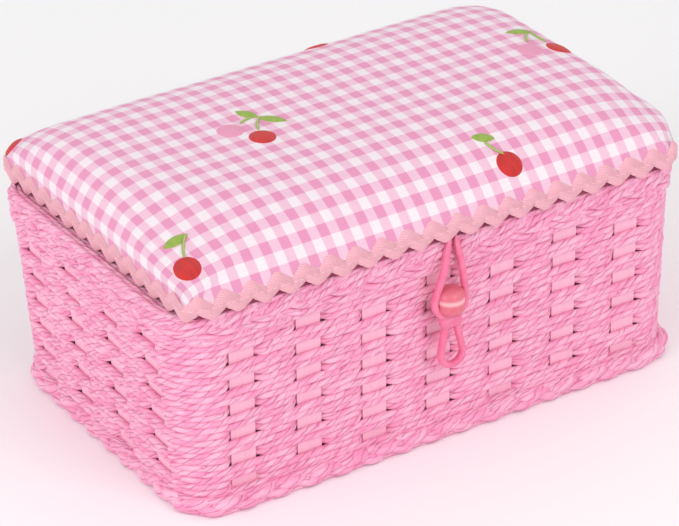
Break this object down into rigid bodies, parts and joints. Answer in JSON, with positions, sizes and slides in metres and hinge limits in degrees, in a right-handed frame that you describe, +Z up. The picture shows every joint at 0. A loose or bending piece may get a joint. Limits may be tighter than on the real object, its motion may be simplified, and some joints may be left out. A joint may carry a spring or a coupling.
{
  "type": "wicker sewing box",
  "caption": "Rectangular woven basket with a lining, a lift-out tray, a padded hinged lid covered in checked cloth, and a soft loop that closes over a bead.",
  "frame": {"origin": "centre of the box's footprint, on the surface that it stands on", "axes": "+X along the long side, +Z up; the front, with the closure, faces -Y"},
  "size_m": [0.2502, 0.1798, 0.1253],
  "materials": {
    "paper_cord": "twisted paper cord, matte with a slight sheen",
    "flat_stake": "flat pale pink strip, satin",
    "board": "plain hardboard",
    "lining_cloth": "plain weave cotton lining",
    "tray_plastic": "moulded, slightly translucent",
    "hinge_wire": "pink coated wire",
    "bead_plastic": "translucent coral pink",
    "loop_plastic": "soft glossy hot pink",
    "wadding": "polyester wadding",
    "gingham": "woven pink and white check with embroidered cherries",
    "braid": "woven zigzag braid"
  },
  "bodies": {
    "basket": {"foot_border": "paper_cord", "base_board": "board", "base_lining": "lining_cloth", "side_lining": "lining_cloth", "weave_corners": "paper_cord", "top_border": "paper_cord", "weave_front": "paper_cord", "weave_right": "paper_cord", "weave_back": "paper_cord", "weave_left": "paper_cord", "stakes_front": "flat_stake", "stakes_right": "flat_stake", "stakes_back": "flat_stake", "stakes_left": "flat_stake", "tray_ledge_left": "lining_cloth", "tray_ledge_right": "lining_cloth", "hinge_ring_left": "hinge_wire", "hinge_ring_right": "hinge_wire", "closure_bead": "bead_plastic", "bead_washer": "hinge_wire"},
    "lid": {"lid_lining": "lining_cloth", "lid_board": "board", "lid_pad": "wadding", "lid_cover": "gingham", "ricrac_trim": "braid", "closure_staple": "hinge_wire"},
    "closure": {"closure_loop": "loop_plastic"},
    "tray": {"tray": "tray_plastic"}
  },
  "joints": [
    {"name": "lid_hinge", "type": "hinge", "parent": "basket", "child": "lid", "pos_m": [0, 0.0838, 0.09415], "axis": [-1, 0, 0], "range_deg": [0, 105]},
    {"name": "closure_swing", "type": "hinge", "parent": "lid", "child": "closure", "pos_m": [0, -0.085, 0.0966], "axis": [-1, 0, 0], "range_deg": [0, 150]},
    {"name": "tray_lift", "type": "slide", "parent": "basket", "child": "tray", "axis": [0, 0, 1], "range_m": [0, 0.018]}
  ]
}
